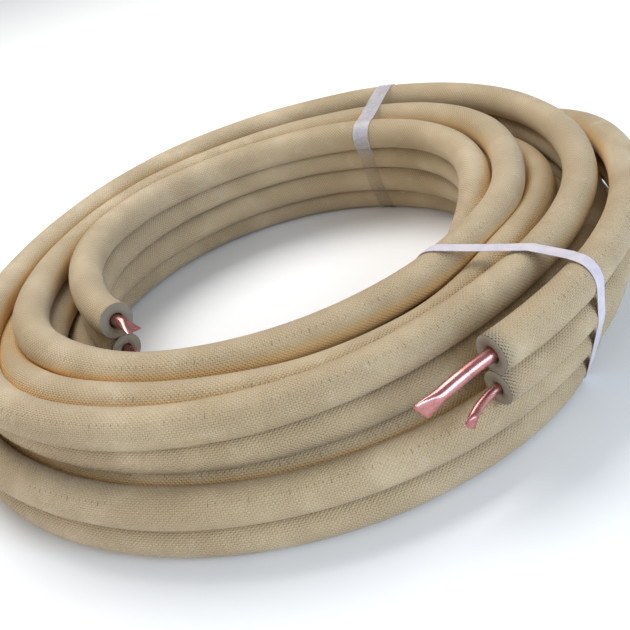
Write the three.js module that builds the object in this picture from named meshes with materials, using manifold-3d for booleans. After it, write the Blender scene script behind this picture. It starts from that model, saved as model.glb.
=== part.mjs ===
// Coil of twin insulated copper line: two soft copper tubes, each in its own
// closed-cell foam sleeve, the sleeves joined one above the other and wound flat.
// Millimetres, +Z up, Z = 0 on the floor, coil axis along Z.
import * as THREE from 'three';
import { mergeVertices } from 'three/addons/utils/BufferGeometryUtils.js';
import Module from 'manifold-3d';

// ---- driving dimensions -------------------------------------------------
const COPPER_WIDE_D = 9.52;      // 3/8 in tube, outside
const COPPER_NARROW_D = 6.35;    // 1/4 in tube, outside
const FOAM_WALL = 9.0;           // insulation thickness on both tubes
const SLEEVE_WIDE_D = 27.5;      // outside of the sleeve on the 3/8 tube
const SLEEVE_NARROW_D = 24.4;    // outside of the sleeve on the 1/4 tube
const GAP = 0.3;                 // clearance between neighbouring solids
const LANES = [160, 187.8, 215.6, 243.4, 271.2]; // centre-line radii of the turns
const COIL_SEGMENTS = 48;
const INNER_END_DEG = 238;       // where the inner loose end is cut
const INNER_START_DEG = -12;     // where that turn drops into the winding
const OUTER_START_DEG = 172;     // where the outer loose turn leaves the winding
const OUTER_END_DEG = -37.3;     // where the outer loose end is cut
const OUTER_LANE = 273.3;
const OUTER_END_R = 291;         // the outer end springs away from the coil
const STEP_DEG = 10;
const STRAP_T = 0.9;
const STRAPS = [
  { name: 'strap_front', deg: -22, width: 9, outer: true, inner: false },
  { name: 'strap_back', deg: 88, width: 17, outer: true, inner: true },
];
const GROOVE = 1.3;              // how far a strap's lower run sinks into the foam

const RW = SLEEVE_WIDE_D / 2, RN = SLEEVE_NARROW_D / 2;
// levels of the four stacked tubes: narrow, wide, narrow, wide
const Z1 = RN, Z2 = Z1 + RN + RW, Z3 = Z2 + RW + RN + GAP, Z4 = Z3 + RN + RW + GAP;
const TOP = Z4 + RW;
const rad = (d) => d * Math.PI / 180;

const foam = new THREE.MeshStandardMaterial({ color: 0xcbbf9f, roughness: 0.85, metalness: 0 });
const copper = new THREE.MeshStandardMaterial({ color: 0xb87a5e, roughness: 0.32, metalness: 1 });
const strapWhite = new THREE.MeshStandardMaterial({ color: 0xe9e7ee, roughness: 0.45, metalness: 0 });
const strapClear = new THREE.MeshStandardMaterial({ color: 0xd8d8e2, roughness: 0.35, metalness: 0 });

const group = new THREE.Group();
function add(name, geometry, material) {
  const mesh = new THREE.Mesh(geometry, material);
  mesh.name = name;
  group.add(mesh);
  return mesh;
}

// ---- boolean helpers ----------------------------------------------------
const wasm = await Module();
wasm.setup();
function toSolid(geometry) {
  const g = geometry.clone();
  for (const k of Object.keys(g.attributes)) if (k !== 'position') g.deleteAttribute(k);
  const m = mergeVertices(g.index ? g.toNonIndexed() : g, 1e-3);
  return new wasm.Manifold(new wasm.Mesh({
    numProp: 3,
    vertProperties: new Float32Array(m.attributes.position.array),
    triVerts: new Uint32Array(m.index.array),
  }));
}
function toGeometry(solid) {
  const m = solid.getMesh();
  const g = new THREE.BufferGeometry();
  g.setAttribute('position', new THREE.BufferAttribute(new Float32Array(m.vertProperties), 3));
  g.setIndex(new THREE.BufferAttribute(new Uint32Array(m.triVerts), 1));
  g.computeVertexNormals();
  return g;
}

// ---- the wound coil: one turned solid, its turns showing all round --------
// each tube is a 12-sided outline whose flats face up, down and sideways
function arc(lane, z, r, from, to) {
  const out = [];
  const rc = r / Math.cos(rad(15));
  const n = Math.round((to - from) / 30);
  for (let i = 0; i <= n; i++) {
    const a = rad(from + i * 30);
    out.push(new THREE.Vector2(lane + rc * Math.cos(a), z + rc * Math.sin(a)));
  }
  return out;
}
const profile = [];
for (const lane of LANES) profile.push(...arc(lane, Z1, RN, -165, -15)); // underside
const last = LANES.length - 1;
profile.push(...arc(LANES[last], Z1, RN, 15, 45));         // outer side, lower twin
profile.push(...arc(LANES[last], Z2, RW, -45, 135));
profile.push(...arc(LANES[last - 1], Z3, RN, -15, 45));    // outer side, upper twin
profile.push(...arc(LANES[last - 1], Z4, RW, -45, 165));
for (let i = last - 2; i >= 2; i--) profile.push(...arc(LANES[i], Z4, RW, 15, 165)); // top
profile.push(...arc(LANES[1], Z4, RW, 15, 225));
profile.push(...arc(LANES[1], Z3, RN, 135, 195));          // inner side, upper twin
profile.push(...arc(LANES[0], Z2, RW, 45, 225));
profile.push(...arc(LANES[0], Z1, RN, 135, 165));          // inner side, lower twin
profile.push(profile[0].clone());
let coilGeometry = new THREE.LatheGeometry(profile, COIL_SEGMENTS);
coilGeometry.rotateX(Math.PI / 2);
let coil = toSolid(coilGeometry);
for (const s of STRAPS) {
  // the strap's lower run is pressed into the foam
  const cut = new THREE.BoxGeometry(170, s.width + 1.2, GROOVE + 2);
  cut.translate(216, 0, (GROOVE - 2) / 2);
  cut.rotateZ(rad(s.deg));
  coil = coil.subtract(toSolid(cut));
}
add('wound_insulated_line', toGeometry(coil), foam);

// ---- free turns: sleeves and copper along their own centre lines ----------
function octagon(r) {
  const rc = r / Math.cos(rad(22.5));
  const pts = [];
  for (let i = 0; i < 8; i++) {
    const a = rad(22.5 + 45 * i);
    pts.push(new THREE.Vector2(rc * Math.cos(a), rc * Math.sin(a)));
  }
  return pts;
}
class Polyline3 extends THREE.Curve {
  constructor(points) { super(); this.points = points; this.arcLengthDivisions = (points.length - 1) * 8; }
  getPoint(t, target = new THREE.Vector3()) {
    const n = this.points.length - 1, f = Math.min(n - 1e-9, Math.max(0, t * n)), i = Math.floor(f);
    return target.copy(this.points[i]).lerp(this.points[i + 1], f - i);
  }
}
function sweep(curve, outer, hole, steps) {
  const shape = new THREE.Shape(octagon(outer));
  if (hole) shape.holes.push(new THREE.Path(octagon(hole).reverse()));
  return new THREE.ExtrudeGeometry(shape, { extrudePath: curve, steps, curveSegments: 1, bevelEnabled: false });
}
const at = (R, deg, z) => new THREE.Vector3(R * Math.cos(rad(deg)), R * Math.sin(rad(deg)), z);

function turnCurve(fromDeg, toDeg, radius, z) {
  const n = Math.max(4, Math.round(Math.abs(toDeg - fromDeg) / STEP_DEG));
  const pts = [];
  for (let i = 0; i <= n; i++) {
    const d = fromDeg + (toDeg - fromDeg) * i / n;
    pts.push(at(radius(d), d, z));
  }
  return { curve: new THREE.CatmullRomCurve3(pts, false, 'centripetal'), steps: n };
}
// inner loose turn, lying on the innermost lower turn
const Z3F = Z3 + GAP, Z4F = Z3F + RN + RW + GAP;
const innerR = () => LANES[0] - GAP;
// outer loose turn: lies on the outermost lower turn, then springs out to its cut end
const outerR = (d) => {
  const t = Math.min(1, Math.max(0, (35 - d) / (35 - OUTER_END_DEG)));
  return OUTER_LANE + (OUTER_END_R - OUTER_LANE) * t * t * (3 - 2 * t);
};
const BORE = 1.3; // play between the tube and its sleeve
const ends = [
  ['inner', INNER_START_DEG, INNER_END_DEG, innerR],
  ['outer', OUTER_START_DEG, OUTER_END_DEG, outerR],
];
for (const [name, a, b, fn] of ends) {
  const w = turnCurve(a, b, fn, Z4F), n = turnCurve(a, b, fn, Z3F);
  add(`sleeve_wide_${name}_turn`, sweep(w.curve, RW, COPPER_WIDE_D / 2 + BORE, w.steps), foam);
  add(`sleeve_narrow_${name}_turn`, sweep(n.curve, RN, COPPER_NARROW_D / 2 + BORE, n.steps), foam);
}

// copper: a stub of each tube in its sleeve, standing out of the cut end, the tip pinched shut
function copperEnd(path, d, pinchLen, pinchDir, steps) {
  const curve = new THREE.CatmullRomCurve3(path, false, 'centripetal');
  const g = sweep(curve, d / 2 * 0.97, 0, steps);
  const pos = g.attributes.position, tip = path[path.length - 1], v = new THREE.Vector3();
  const len = curve.getLength();
  const pts = curve.getSpacedPoints(steps);
  for (let i = 0; i < pos.count; i++) {
    v.fromBufferAttribute(pos, i);
    // nearest station
    let best = 0, bd = 1e9;
    for (let k = 0; k <= steps; k++) { const q = pts[k].distanceToSquared(v); if (q < bd) { bd = q; best = k; } }
    const toTip = len * (1 - best / steps);
    if (toTip < pinchLen) {
      const k = 1 - toTip / pinchLen, flat = 1 - 0.72 * k;
      const off = v.clone().sub(pts[best]);
      const h = off.dot(pinchDir);
      const tan = curve.getTangentAt(Math.min(1, best / steps));
      const side = new THREE.Vector3().crossVectors(tan, pinchDir).normalize();
      const w = off.dot(side);
      off.addScaledVector(pinchDir, h * (flat - 1)).addScaledVector(side, w * 0.35 * k);
      v.copy(pts[best]).add(off);
      pos.setXYZ(i, v.x, v.y, v.z);
    }
  }
  g.computeVertexNormals();
  return g;
}
function tangentAt(fn, deg, dir) {
  const e = 0.5, p = at(fn(deg), deg, 0), q = at(fn(deg + dir * e), deg + dir * e, 0);
  return q.sub(p).normalize();
}
const COPPER_OUT = {
  inner: { wide: [27, new THREE.Vector3(0, 0, -2)], narrow: [30, new THREE.Vector3(0, 0, -3)] },
  outer: { wide: [60, new THREE.Vector3(0, 0, -5)], narrow: [37, new THREE.Vector3(9, -5, -3)] },
};
for (const [name, a, b, fn] of ends) {
  const dir = Math.sign(b - a);
  for (const [kind, d, z] of [['wide', COPPER_WIDE_D, Z4F], ['narrow', COPPER_NARROW_D, Z3F]]) {
    const path = [];
    for (const back of [16, 12, 8, 4]) path.push(at(fn(b - dir * back), b - dir * back, z));
    const end = at(fn(b), b, z), t = tangentAt(fn, b, dir === 1 ? 1 : -1).multiplyScalar(1);
    if (dir === -1) t.copy(tangentAt(fn, b, -1));
    path.push(end);
    const [out, drift] = COPPER_OUT[name][kind];
    for (const f of [0.3, 0.6, 0.8, 1]) {
      path.push(end.clone().addScaledVector(t, out * f).addScaledVector(drift, f * f));
    }
    add(`copper_${kind}_${name}_end`, copperEnd(path, d, out * 0.35, new THREE.Vector3(0, 0, 1), 16), copper);
  }
}

// ---- straps: closed bands drawn tight round the bundle ---------------------
function hull(pts) {
  const p = pts.slice().sort((a, b) => a.x - b.x || a.y - b.y);
  const cross = (o, a, b) => (a.x - o.x) * (b.y - o.y) - (a.y - o.y) * (b.x - o.x);
  const half = (list) => {
    const h = [];
    for (const q of list) {
      while (h.length > 1 && cross(h[h.length - 2], h[h.length - 1], q) <= 1e-6) h.pop();
      h.push(q);
    }
    h.pop();
    return h;
  };
  return half(p).concat(half(p.slice().reverse()));
}
function strap({ name, deg, width, outer, inner }) {
  const ring = (grow) => {
    const pts = [];
    const put = (R, z, r, tune = grow) => {
      for (let i = 0; i < 16; i++) {
        const a = rad(11.25 + 22.5 * i), rc = (r + tune) / Math.cos(rad(11.25));
        pts.push(new THREE.Vector2(R + rc * Math.cos(a), z + rc * Math.sin(a)));
      }
    };
    put(LANES[0], Z1, RN + 0.5); put(LANES[0], Z2, RW + 0.5);
    put(LANES[1], Z4, RW + 0.5);
    if (inner) { put(LANES[0] - GAP, Z3F, RN + 1.7); put(LANES[0] - GAP, Z4F, RW + 1.9); }
    put(LANES[last], Z1, RN + 0.5); put(LANES[last], Z2, RW + 0.5);
    if (outer) { const R = outerR(deg); put(R, Z3F, RN + 1.0); put(R, Z4F, RW + 1.2); }
    const h = hull(pts);
    return h;
  };
  const out = ring(GAP + STRAP_T), inn = ring(GAP);
  // the lower run lies flat on the floor, sunk into the foam
  for (const q of out) q.y = Math.max(q.y, 0);
  for (const q of inn) q.y = Math.max(q.y, STRAP_T);
  const clean = (list) => list.filter((q, i) => q.distanceTo(list[(i + 1) % list.length]) > 0.05);
  const shape = new THREE.Shape(clean(out));
  shape.holes.push(new THREE.Path(clean(inn).reverse()));
  const g = new THREE.ExtrudeGeometry(shape, { depth: width, steps: 1, bevelEnabled: false, curveSegments: 1 });
  g.translate(0, 0, -width / 2);
  g.rotateX(Math.PI / 2);
  g.rotateZ(rad(deg));
  add(name, g, name === 'strap_front' ? strapWhite : strapClear);
}
for (const s of STRAPS) strap(s);

// origin under the middle of the object's box, resting face on Z = 0
const box = new THREE.Box3().setFromObject(group);
group.position.set(-(box.min.x + box.max.x) / 2, -(box.min.y + box.max.y) / 2, -box.min.z);
group.updateMatrixWorld(true);

export default group;
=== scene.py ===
import bpy, math
import numpy as np
from mathutils import Matrix, Vector


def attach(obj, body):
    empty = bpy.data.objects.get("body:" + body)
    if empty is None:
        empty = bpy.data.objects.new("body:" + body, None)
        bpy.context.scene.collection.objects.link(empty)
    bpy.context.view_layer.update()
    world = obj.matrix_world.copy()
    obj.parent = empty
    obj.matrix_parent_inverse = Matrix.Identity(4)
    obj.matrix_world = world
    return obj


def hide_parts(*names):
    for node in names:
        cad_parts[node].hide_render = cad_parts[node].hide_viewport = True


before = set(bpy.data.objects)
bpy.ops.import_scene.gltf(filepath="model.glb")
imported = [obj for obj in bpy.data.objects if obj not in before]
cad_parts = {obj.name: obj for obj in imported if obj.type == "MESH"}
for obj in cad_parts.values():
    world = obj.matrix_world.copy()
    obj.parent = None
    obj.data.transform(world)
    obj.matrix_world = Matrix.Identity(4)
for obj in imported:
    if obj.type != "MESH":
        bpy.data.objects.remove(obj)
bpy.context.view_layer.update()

# ---------------------------------------------------------------- dimensions
MM = 0.001
SHIFT = (-5.1752, -2.3102)          # coil axis in the part's frame, mm
R_WIDE, R_NARROW = 13.75, 12.2      # sleeve radii
CU_WIDE, CU_NARROW = 4.76, 3.175     # copper radii
BORE_WIDE, BORE_NARROW = 6.3, 4.7    # the bore has some play round the tube

# (radius, height) of the wide tube's centre, then of the narrow one's, every 5 degrees, mm
CHAIN_START, CHAIN_STEP = 238.0, -5.0
CHAIN = [
    (154.0, 86.0, 155.0, 60.2), (156.0, 86.1, 157.1, 60.3), (158.0, 86.1, 159.3, 60.3), (160.2, 86.1, 161.7, 60.4), (162.7, 86.2, 164.4, 60.5),
    (165.7, 86.3, 167.6, 60.5), (169.2, 86.3, 171.4, 60.6), (173.1, 86.4, 175.5, 60.8), (177.1, 86.6, 179.6, 60.9), (180.8, 86.8, 182.9, 61.1),
    (183.7, 87.0, 185.1, 61.2), (185.7, 87.2, 186.8, 61.4), (186.6, 87.3, 188.1, 61.5), (186.5, 87.2, 189.1, 61.6), (185.5, 87.1, 189.3, 61.6),
    (183.8, 87.0, 188.9, 61.7), (181.5, 86.8, 187.9, 61.8), (178.9, 86.5, 186.5, 61.9), (176.3, 86.4, 184.6, 62.0), (173.6, 86.3, 182.5, 62.0),
    (170.9, 86.2, 180.2, 62.1), (168.4, 86.1, 177.8, 62.1), (166.0, 86.1, 175.4, 62.1), (163.9, 86.1, 173.1, 62.0), (162.1, 86.2, 171.0, 61.9),
    (160.6, 86.3, 169.0, 61.9), (159.5, 86.4, 167.1, 61.8), (158.4, 86.6, 165.5, 61.7), (157.5, 86.7, 164.1, 61.8), (156.9, 86.9, 163.0, 61.9),
    (156.5, 87.1, 162.2, 61.9), (156.5, 87.2, 161.6, 62.0), (156.7, 87.3, 161.3, 61.9), (157.0, 87.3, 161.1, 61.9), (157.3, 87.3, 160.9, 61.7),
    (157.8, 87.1, 160.8, 61.5), (158.2, 87.0, 160.6, 61.3), (158.6, 86.8, 160.4, 61.1), (158.9, 86.6, 160.1, 60.8), (159.2, 86.2, 159.7, 60.4),
    (159.3, 85.7, 159.1, 59.9), (159.3, 85.0, 158.6, 59.2), (159.2, 84.0, 158.3, 58.2), (159.0, 82.7, 158.0, 56.9), (158.7, 81.0, 157.9, 55.2),
    (158.5, 78.8, 157.9, 53.0), (158.6, 76.1, 158.0, 50.3), (158.7, 72.9, 158.3, 47.2), (159.0, 69.3, 158.8, 43.5), (159.4, 65.3, 159.5, 39.5),
    (160.0, 61.1, 160.2, 35.3), (160.6, 56.9, 161.0, 31.1), (161.4, 52.9, 161.8, 27.2), (162.2, 49.4, 162.6, 23.6), (163.2, 46.4, 163.5, 20.6),
    (164.1, 44.0, 164.4, 18.2), (165.1, 42.1, 165.3, 16.3), (166.0, 40.7, 166.1, 14.9), (166.7, 39.6, 166.9, 13.8), (167.4, 38.9, 167.7, 13.1),
    (168.0, 38.5, 168.5, 12.7), (168.6, 38.3, 169.3, 12.5), (169.1, 38.3, 170.0, 12.5), (169.5, 38.3, 170.8, 12.5), (169.9, 38.2, 171.5, 12.5),
    (170.3, 38.2, 172.3, 12.5), (170.7, 38.2, 173.1, 12.5), (171.1, 38.1, 174.0, 12.5), (171.5, 38.1, 174.9, 12.5), (171.9, 38.0, 175.9, 12.5),
    (172.5, 37.9, 176.9, 12.5), (173.2, 37.8, 178.1, 12.5), (174.0, 37.7, 179.5, 12.5), (175.3, 37.6, 181.2, 12.5), (176.9, 37.5, 183.4, 12.5),
    (179.2, 37.5, 185.7, 12.5), (181.9, 37.5, 188.2, 12.5), (185.0, 37.6, 190.8, 12.5), (188.0, 37.7, 193.5, 12.5), (190.7, 37.7, 196.1, 12.5),
    (192.8, 37.6, 198.8, 12.5), (194.1, 37.3, 201.3, 12.5), (195.1, 36.9, 203.5, 12.5), (195.9, 36.6, 205.1, 12.5), (196.4, 36.4, 206.2, 12.5),
    (196.4, 36.2, 206.7, 12.6), (195.8, 35.9, 206.7, 12.6), (194.8, 35.7, 206.3, 12.6), (193.4, 35.4, 205.3, 12.6), (191.6, 35.3, 203.8, 12.6),
    (189.7, 35.4, 201.7, 12.5), (187.5, 35.6, 199.2, 12.5), (185.3, 35.8, 196.5, 12.5), (183.1, 36.0, 193.7, 12.5), (180.8, 36.3, 190.9, 12.5),
    (178.6, 36.5, 188.2, 12.5), (176.4, 36.7, 185.5, 12.5), (174.2, 36.8, 182.9, 12.5), (172.2, 36.9, 180.4, 12.5), (170.2, 37.0, 178.2, 12.5),
    (168.4, 37.1, 176.1, 12.5), (166.8, 37.2, 174.4, 12.5), (165.5, 37.2, 173.0, 12.5), (164.5, 37.2, 172.1, 12.5), (163.9, 37.1, 171.5, 12.5),
    (163.4, 37.1, 171.3, 12.5), (163.1, 36.9, 171.5, 12.5), (163.2, 36.7, 172.2, 12.5), (163.7, 36.5, 173.1, 12.5), (164.5, 36.5, 174.1, 12.5),
    (165.6, 36.5, 175.1, 12.5), (167.0, 36.6, 176.1, 12.5), (168.4, 36.8, 177.1, 12.5), (170.0, 37.0, 178.1, 12.5), (171.7, 37.2, 179.2, 12.5),
    (173.6, 37.4, 180.2, 12.5), (175.7, 37.7, 181.2, 12.5), (177.8, 37.9, 182.3, 12.5), (179.9, 38.1, 183.3, 12.5), (181.7, 38.2, 184.3, 12.5),
    (183.3, 38.2, 185.3, 12.5), (184.8, 38.3, 186.3, 12.5), (186.2, 38.3, 187.3, 12.5), (187.5, 38.3, 188.2, 12.5), (188.7, 38.3, 189.1, 12.5),
    (189.8, 38.3, 190.0, 12.5), (190.7, 38.3, 190.8, 12.5), (191.6, 38.3, 191.7, 12.5), (192.3, 38.3, 192.5, 12.5), (193.1, 38.3, 193.3, 12.5),
    (193.7, 38.3, 194.2, 12.5), (194.3, 38.3, 195.0, 12.5), (194.8, 38.3, 195.8, 12.5), (195.3, 38.3, 196.7, 12.5), (195.8, 38.2, 197.5, 12.5),
    (196.2, 38.2, 198.4, 12.5), (196.6, 38.2, 199.3, 12.5), (196.9, 38.1, 200.3, 12.5), (197.3, 38.0, 201.3, 12.5), (197.7, 37.9, 202.3, 12.5),
    (198.1, 37.7, 203.5, 12.5), (198.6, 37.6, 204.7, 12.5), (199.2, 37.3, 206.1, 12.5), (199.9, 37.1, 207.7, 12.5), (200.8, 36.8, 209.5, 12.5),
    (201.9, 36.4, 211.5, 12.5), (203.3, 36.1, 213.8, 12.5), (205.5, 36.0, 216.1, 12.5), (208.2, 36.2, 218.4, 12.5), (211.2, 36.5, 220.6, 12.5),
    (214.1, 36.8, 222.9, 12.5), (216.7, 36.8, 225.3, 12.5), (218.8, 36.8, 227.6, 12.5), (220.2, 36.5, 229.6, 12.5), (221.2, 36.2, 231.4, 12.5),
    (221.9, 35.8, 233.0, 12.5), (222.2, 35.4, 234.1, 12.5), (222.1, 35.2, 234.3, 12.5), (221.6, 35.4, 233.5, 12.5), (220.6, 35.7, 231.9, 12.5),
    (219.2, 36.0, 229.8, 12.5), (217.5, 36.3, 227.5, 12.5), (215.6, 36.4, 225.2, 12.5), (213.5, 36.6, 222.6, 12.5), (211.4, 36.8, 219.9, 12.5),
    (209.2, 37.0, 217.1, 12.5), (206.9, 37.2, 214.3, 12.5), (204.7, 37.4, 211.5, 12.5), (202.6, 37.5, 208.8, 12.5), (200.5, 37.6, 206.2, 12.5),
    (198.4, 37.7, 203.8, 12.5), (196.5, 37.8, 201.5, 12.5), (194.7, 37.9, 199.4, 12.5), (193.1, 37.9, 197.7, 12.5), (191.8, 37.9, 196.3, 12.5),
    (190.9, 37.9, 195.3, 12.5), (190.3, 37.9, 194.8, 12.5), (189.9, 37.9, 194.7, 12.5), (189.6, 37.8, 194.9, 12.5), (189.7, 37.6, 195.7, 12.5),
    (190.2, 37.3, 197.2, 12.5), (191.0, 37.0, 199.1, 12.5), (192.2, 36.7, 201.1, 12.5), (193.5, 36.4, 203.3, 12.5), (195.0, 36.0, 205.7, 12.5),
    (196.5, 35.5, 208.2, 12.5), (198.2, 34.9, 210.9, 12.5), (199.9, 34.3, 213.8, 12.5), (201.8, 33.6, 216.7, 12.5), (203.9, 32.8, 219.8, 12.5),
    (206.3, 32.1, 223.1, 12.5), (209.2, 31.4, 226.7, 12.5), (212.7, 30.9, 230.7, 12.5), (216.8, 30.7, 235.0, 12.5), (221.8, 31.2, 239.6, 12.5),
    (228.3, 33.0, 244.0, 12.5), (236.2, 35.7, 247.4, 12.5), (244.7, 37.6, 250.6, 12.5), (250.1, 38.2, 252.5, 12.5), (252.9, 38.3, 253.3, 12.5),
    (253.8, 38.3, 253.3, 12.5), (253.6, 38.3, 252.7, 12.5), (252.6, 38.3, 251.6, 12.5), (250.9, 38.3, 250.1, 12.5), (248.9, 38.3, 248.4, 12.5),
    (246.6, 38.3, 246.4, 12.5), (244.3, 38.3, 244.5, 12.5), (242.1, 38.3, 242.6, 12.5), (240.1, 38.3, 240.8, 12.5), (238.4, 38.3, 239.2, 12.5),
    (237.0, 38.3, 237.9, 12.5), (236.1, 38.3, 236.9, 12.5), (235.7, 38.3, 236.3, 12.5), (235.8, 38.3, 236.0, 12.5), (236.7, 38.3, 236.1, 12.5),
    (238.3, 38.2, 236.4, 12.5), (240.5, 38.1, 237.1, 12.5), (243.4, 37.7, 237.9, 12.5), (246.8, 37.1, 238.9, 12.5), (250.5, 36.1, 240.1, 12.5),
    (254.0, 35.2, 241.8, 12.5), (257.5, 34.5, 244.0, 12.5), (260.6, 34.0, 246.3, 12.5), (263.3, 33.7, 248.7, 12.5), (265.6, 33.7, 251.0, 12.5),
    (267.5, 33.9, 253.1, 12.5), (269.0, 34.2, 254.9, 12.6), (270.0, 34.6, 256.4, 12.6), (270.4, 34.9, 257.4, 12.6), (270.2, 35.2, 257.7, 12.6),
    (269.5, 35.5, 257.8, 12.5), (268.4, 35.8, 257.3, 12.5), (266.8, 36.2, 256.5, 12.5), (264.9, 36.5, 255.4, 12.5), (262.8, 36.9, 254.1, 12.7),
    (260.4, 37.4, 252.5, 12.8), (257.9, 37.8, 250.9, 13.0), (255.3, 38.2, 249.1, 13.1), (252.7, 38.5, 247.3, 13.3), (250.1, 38.8, 245.4, 13.4),
    (247.5, 39.0, 243.6, 13.5), (245.1, 39.1, 241.7, 13.6), (242.8, 39.2, 239.8, 13.5), (240.6, 39.1, 237.9, 13.4), (238.7, 38.9, 236.0, 13.2),
    (236.8, 38.7, 234.3, 13.0), (235.6, 38.5, 233.0, 12.8), (234.8, 38.3, 231.9, 12.7), (234.4, 38.2, 231.2, 12.6), (234.6, 38.1, 230.7, 12.6),
    (234.8, 38.0, 230.3, 12.5), (235.7, 37.8, 230.3, 12.5), (237.2, 37.4, 230.5, 12.5), (239.1, 37.0, 231.2, 12.5), (241.5, 36.6, 232.2, 12.5),
    (244.3, 36.0, 233.6, 12.5), (247.4, 35.3, 235.4, 12.5), (250.8, 34.7, 237.6, 12.5), (254.2, 34.1, 240.0, 12.5), (257.7, 33.6, 242.7, 12.7),
    (261.1, 33.3, 245.5, 12.8), (264.3, 33.2, 248.4, 12.9), (267.5, 33.2, 251.5, 12.9), (270.5, 33.4, 254.8, 12.9), (273.4, 33.8, 258.4, 12.9),
    (276.1, 34.5, 262.2, 12.7), (278.7, 35.3, 266.5, 12.6), (281.1, 36.4, 271.4, 12.5), (283.1, 37.5, 276.8, 12.5), (284.1, 38.0, 280.2, 12.5),
    (284.3, 38.2, 282.0, 12.5), (283.9, 38.3, 282.5, 12.5), (283.0, 38.3, 282.1, 12.5), (281.6, 38.3, 281.1, 12.5), (280.0, 38.3, 279.6, 12.5),
    (278.0, 38.3, 277.8, 12.5), (275.7, 38.3, 275.6, 12.5), (273.4, 38.3, 273.3, 12.5), (271.0, 38.3, 270.9, 12.5), (268.8, 38.3, 268.7, 12.5),
    (266.7, 38.3, 266.7, 12.5), (265.0, 38.3, 264.9, 12.5), (263.6, 38.3, 263.5, 12.5), (262.7, 38.3, 262.5, 12.5), (262.3, 38.3, 262.0, 12.5),
    (262.4, 38.3, 262.0, 12.5), (263.3, 38.3, 262.5, 12.5), (264.8, 38.3, 263.6, 12.5), (267.0, 38.2, 264.9, 12.5), (269.9, 38.0, 266.3, 12.5),
    (273.3, 37.7, 267.8, 12.5), (276.8, 37.2, 269.5, 12.5), (280.4, 36.7, 271.3, 12.5), (283.7, 36.1, 273.2, 12.5), (286.8, 35.5, 275.1, 12.5),
    (289.5, 35.0, 276.9, 12.5), (291.8, 34.7, 278.6, 12.5), (293.8, 34.4, 280.1, 12.5), (295.2, 34.0, 281.0, 12.5), (296.1, 33.7, 281.5, 12.5),
    (296.5, 33.6, 281.5, 12.5), (296.3, 33.6, 281.4, 12.5), (295.7, 33.9, 281.2, 12.5), (294.6, 34.3, 280.7, 12.5), (293.0, 34.7, 279.9, 12.5),
    (291.2, 35.2, 278.8, 12.5), (289.0, 35.6, 277.5, 12.5), (286.7, 36.0, 275.9, 12.5), (284.2, 36.3, 274.3, 12.5), (281.6, 36.7, 272.5, 12.5),
    (279.0, 36.9, 270.7, 12.5), (276.4, 37.2, 268.8, 12.5), (273.8, 37.4, 267.0, 12.5), (271.4, 37.5, 265.1, 12.5), (269.1, 37.7, 263.6, 12.5),
    (267.0, 37.9, 262.3, 12.5), (265.0, 38.0, 261.3, 12.5), (263.0, 38.4, 260.6, 12.8), (261.7, 39.1, 260.3, 13.3), (261.0, 40.1, 260.3, 14.3),
    (260.6, 41.5, 260.8, 15.7), (260.6, 43.4, 261.6, 17.6), (261.5, 46.0, 262.7, 20.2), (263.1, 49.1, 264.2, 23.3), (265.1, 52.7, 265.8, 26.9),
    (267.3, 56.7, 267.5, 30.9), (269.4, 60.9, 269.3, 35.1), (271.0, 65.2, 270.9, 39.4), (272.3, 69.5, 272.3, 43.7), (273.2, 73.5, 273.7, 47.7),
    (274.4, 77.1, 275.1, 51.3), (276.0, 80.1, 276.9, 54.3), (278.3, 82.4, 278.9, 56.6), (280.9, 84.1, 281.1, 58.3), (283.7, 85.3, 283.3, 59.5),
    (286.4, 86.1, 285.6, 60.4), (288.7, 86.7, 287.5, 60.9), (290.5, 87.1, 289.2, 61.3), (291.9, 87.4, 290.7, 61.6), (293.0, 87.6, 292.0, 61.8),
    (293.8, 87.7, 293.0, 61.9), (294.3, 87.8, 294.0, 62.0), (295.0, 87.9, 294.9, 62.1), (295.8, 88.0, 295.8, 62.2),
]
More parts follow.
